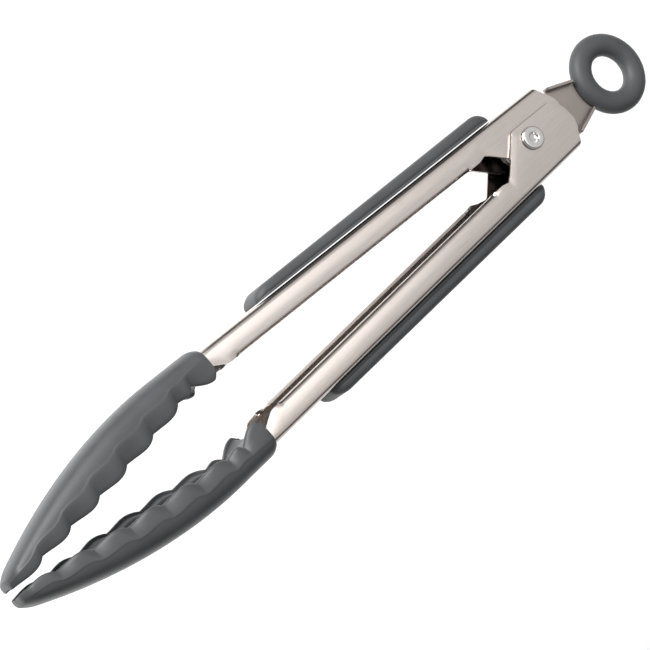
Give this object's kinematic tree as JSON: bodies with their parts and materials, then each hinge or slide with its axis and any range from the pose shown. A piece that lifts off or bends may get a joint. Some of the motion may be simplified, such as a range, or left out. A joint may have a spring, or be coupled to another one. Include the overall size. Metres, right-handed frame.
{
  "type": "spring loaded kitchen tongs",
  "caption": "Locking kitchen tongs: formed steel arms hinged on a rivet, spring opened, with silicone scalloped jaws, grip pads and a pull ring on the sliding lock.",
  "frame": {"origin": "on the pivot axis, at the outer face of the lower rivet head, which is the plane that the tongs lie on", "axes": "+X from the pivot towards the pull ring, with the jaw tips at -X; +Y towards the inner arm; +Z along the pivot rivet"},
  "size_m": [0.2424, 0.0354, 0.0182],
  "materials": {
    "satin_steel": "satin stainless steel with fine lengthwise grain",
    "tab_steel": "darker brushed stainless steel",
    "bright_steel": "polished steel",
    "spring_steel": "drawn spring wire",
    "jaw_silicone": "matt moulded silicone with a soft sheen",
    "grip_silicone": "matt moulded silicone",
    "ring_silicone": "matt moulded silicone",
    "core_nylon": "moulded heat-proof nylon"
  },
  "bodies": {
    "pivot": {"pivot_rivet": "bright_steel", "pivot_spacer": "bright_steel", "torsion_spring": "spring_steel"},
    "outer_arm": {"outer_arm": "satin_steel", "outer_grip_pad": "grip_silicone", "outer_jaw_skin": "jaw_silicone", "outer_jaw_core": "core_nylon", "outer_core_rivet_1": "bright_steel", "outer_core_rivet_2": "bright_steel"},
    "inner_arm": {"inner_arm": "satin_steel", "inner_grip_pad": "grip_silicone", "inner_jaw_skin": "jaw_silicone", "inner_jaw_core": "core_nylon", "inner_core_rivet_1": "bright_steel", "inner_core_rivet_2": "bright_steel"},
    "lock_slider": {"lock_slider": "tab_steel", "pull_ring": "ring_silicone"}
  },
  "joints": [
    {"name": "outer_arm_open", "type": "hinge", "parent": "pivot", "child": "outer_arm", "pos_m": [0, 0, 0.0091], "axis": [0, 0, 1], "range_deg": [0, 11], "stiffness_Nm_per_rad": 0.3, "springref_deg": 28.65, "deforming": ["torsion_spring"]},
    {"name": "inner_arm_open", "type": "hinge", "parent": "pivot", "child": "inner_arm", "pos_m": [0, 0, 0.0091], "axis": [0, 0, -1], "range_deg": [0, 11], "stiffness_Nm_per_rad": 0.3, "springref_deg": 28.65, "deforming": ["torsion_spring"]},
    {"name": "lock_slide", "type": "slide", "parent": "pivot", "child": "lock_slider", "axis": [0.9998, -0.0192, 0], "range_m": [-0.0122, 0]}
  ],
  "couplings": [
    {"joint": "inner_arm_open", "follows": "outer_arm_open", "ratio": 1},
    {"joint": "lock_slide", "follows": "outer_arm_open", "m_per_rad": -0.063}
  ]
}
